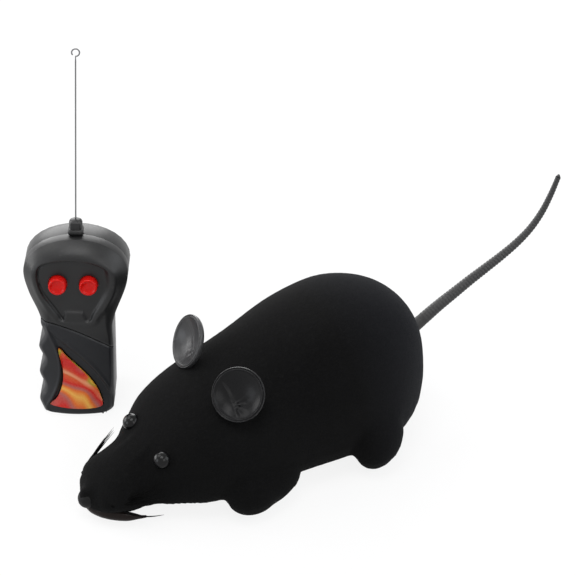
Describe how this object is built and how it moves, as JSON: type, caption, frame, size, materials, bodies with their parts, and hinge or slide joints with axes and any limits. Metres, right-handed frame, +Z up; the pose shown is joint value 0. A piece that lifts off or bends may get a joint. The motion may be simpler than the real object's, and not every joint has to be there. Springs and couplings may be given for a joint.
{
  "type": "remote control cat toy",
  "caption": "Radio controlled flocked toy mouse with cupped ears, ringed tail and wheels, and a two button handset with a wire antenna.",
  "frame": {"origin": "centre of the whole toy's footprint, on the floor", "axes": "+X from the nose to the tail, +Y to the side where the handset stands, +Z up"},
  "size_m": [0.2192, 0.1368, 0.1428],
  "materials": {
    "shell_flock": "short dense black flock",
    "vinyl": "matte soft vinyl",
    "gloss_black": "gloss",
    "tail_rubber": "satin",
    "base_plastic": "fine texture",
    "wheel_plastic": "satin",
    "tyre_rubber": "matte",
    "steel": "zinc plated",
    "brass": "turned",
    "gear_nylon": "satin",
    "housing_plastic": "satin",
    "motor_can": "plated",
    "board": "solder mask",
    "chip": "satin",
    "knob_plastic": "satin",
    "cell_jacket": "printed jacket, left plain",
    "case_plastic": "satin",
    "grip_plastic": "fine texture",
    "button_red": "gloss",
    "insert_foil": "foil behind clear"
  },
  "bodies": {
    "mouse": {"mouse_shell": "shell_flock", "base_plate": "base_plastic", "lower_jaw": "gloss_black", "left_ear": "vinyl", "right_ear": "vinyl", "left_eye": "gloss_black", "right_eye": "gloss_black", "nose": "gloss_black", "left_whiskers": "vinyl", "right_whiskers": "vinyl", "tail": "tail_rubber", "base_screw_front": "steel", "base_screw_rear_left": "steel", "base_screw_rear_right": "steel", "mouse_cell_left": "cell_jacket", "mouse_cell_right": "cell_jacket", "mouse_contact_front": "steel", "mouse_contact_rear": "steel", "receiver_board": "board", "power_switch": "steel", "drive_motor": "motor_can", "reduction_pin": "steel", "gearbox_housing": "housing_plastic", "gearbox_cover": "housing_plastic"},
    "power_knob": {"switch_knob": "knob_plastic"},
    "mouse_door": {"mouse_battery_door": "base_plastic", "mouse_door_screw": "steel"},
    "caster_swivel": {"caster_fork": "base_plastic", "caster_retainer": "steel", "caster_axle": "steel"},
    "caster_roller": {"caster_wheel": "tyre_rubber"},
    "rear_axle": {"drive_axle": "steel", "axle_gear": "gear_nylon", "left_wheel_hub": "wheel_plastic", "left_tyre": "tyre_rubber", "right_wheel_hub": "wheel_plastic", "right_tyre": "tyre_rubber"},
    "reduction": {"reduction_gear": "gear_nylon"},
    "motor_rotor": {"motor_shaft": "steel", "motor_pinion": "brass"},
    "handset": {"face_cover": "case_plastic", "grip_cover": "grip_plastic", "rear_cover": "case_plastic", "decor_insert": "insert_foil", "antenna_base": "case_plastic", "antenna_wire": "steel", "transmitter_board": "board", "left_tact_switch": "chip", "right_tact_switch": "chip", "crystal": "steel", "handset_cell_left": "cell_jacket", "handset_cell_right": "cell_jacket", "handset_contact_bottom": "steel", "handset_contact_top": "steel", "case_screw_left": "steel", "case_screw_right": "steel"},
    "left_button_cap": {"left_button": "button_red"},
    "right_button_cap": {"right_button": "button_red"},
    "handset_door": {"handset_battery_door": "case_plastic", "handset_door_screw": "steel"}
  },
  "joints": [
    {"name": "handset_lift", "type": "slide", "parent": "mouse", "child": "handset", "axis": [0, 0, 1], "range_m": [0, 0.1]},
    {"name": "rear_axle_spin", "type": "hinge", "parent": "mouse", "child": "rear_axle", "pos_m": [0.00887, -0.02627, 0.0095], "axis": [0, 1, 0], "continuous": true},
    {"name": "reduction_spin", "type": "hinge", "parent": "mouse", "child": "reduction", "pos_m": [0.00887, -0.02627, 0.0185], "axis": [0, 1, 0], "continuous": true},
    {"name": "motor_spin", "type": "hinge", "parent": "mouse", "child": "motor_rotor", "pos_m": [0.00887, -0.02627, 0.0275], "axis": [0, 1, 0], "continuous": true},
    {"name": "caster_swivel_turn", "type": "hinge", "parent": "mouse", "child": "caster_swivel", "pos_m": [-0.06813, -0.02627, 0], "axis": [0, 0, 1], "continuous": true},
    {"name": "caster_roll", "type": "hinge", "parent": "caster_swivel", "child": "caster_roller", "pos_m": [-0.06363, -0.02627, 0.0042], "axis": [0, 1, 0], "continuous": true},
    {"name": "power_switch_slide", "type": "slide", "parent": "mouse", "child": "power_knob", "axis": [1, 0, 0], "range_m": [0, 0.003]},
    {"name": "mouse_door_hinge", "type": "hinge", "parent": "mouse", "child": "mouse_door", "pos_m": [-0.02963, -0.03572, 0.0067], "axis": [-1, 0, 0], "range_deg": [0, 70]},
    {"name": "left_button_press", "type": "slide", "parent": "handset", "child": "left_button_cap", "axis": [0.5413, 0.8147, -0.2079], "range_m": [0, 0.0008], "stiffness_N_per_m": 800, "springref_m": -0.0005},
    {"name": "right_button_press", "type": "slide", "parent": "handset", "child": "right_button_cap", "axis": [0.5413, 0.8147, -0.2079], "range_m": [0, 0.0008], "stiffness_N_per_m": 800, "springref_m": -0.0005},
    {"name": "handset_door_hinge", "type": "hinge", "parent": "handset", "child": "handset_door", "pos_m": [-0.06606, 0.04827, 0.0029], "axis": [-0.8329, 0.5534, 0], "range_deg": [0, 60]}
  ],
  "couplings": [
    {"joint": "reduction_spin", "follows": "rear_axle_spin", "ratio": -2},
    {"joint": "motor_spin", "follows": "rear_axle_spin", "ratio": 5.5}
  ]
}
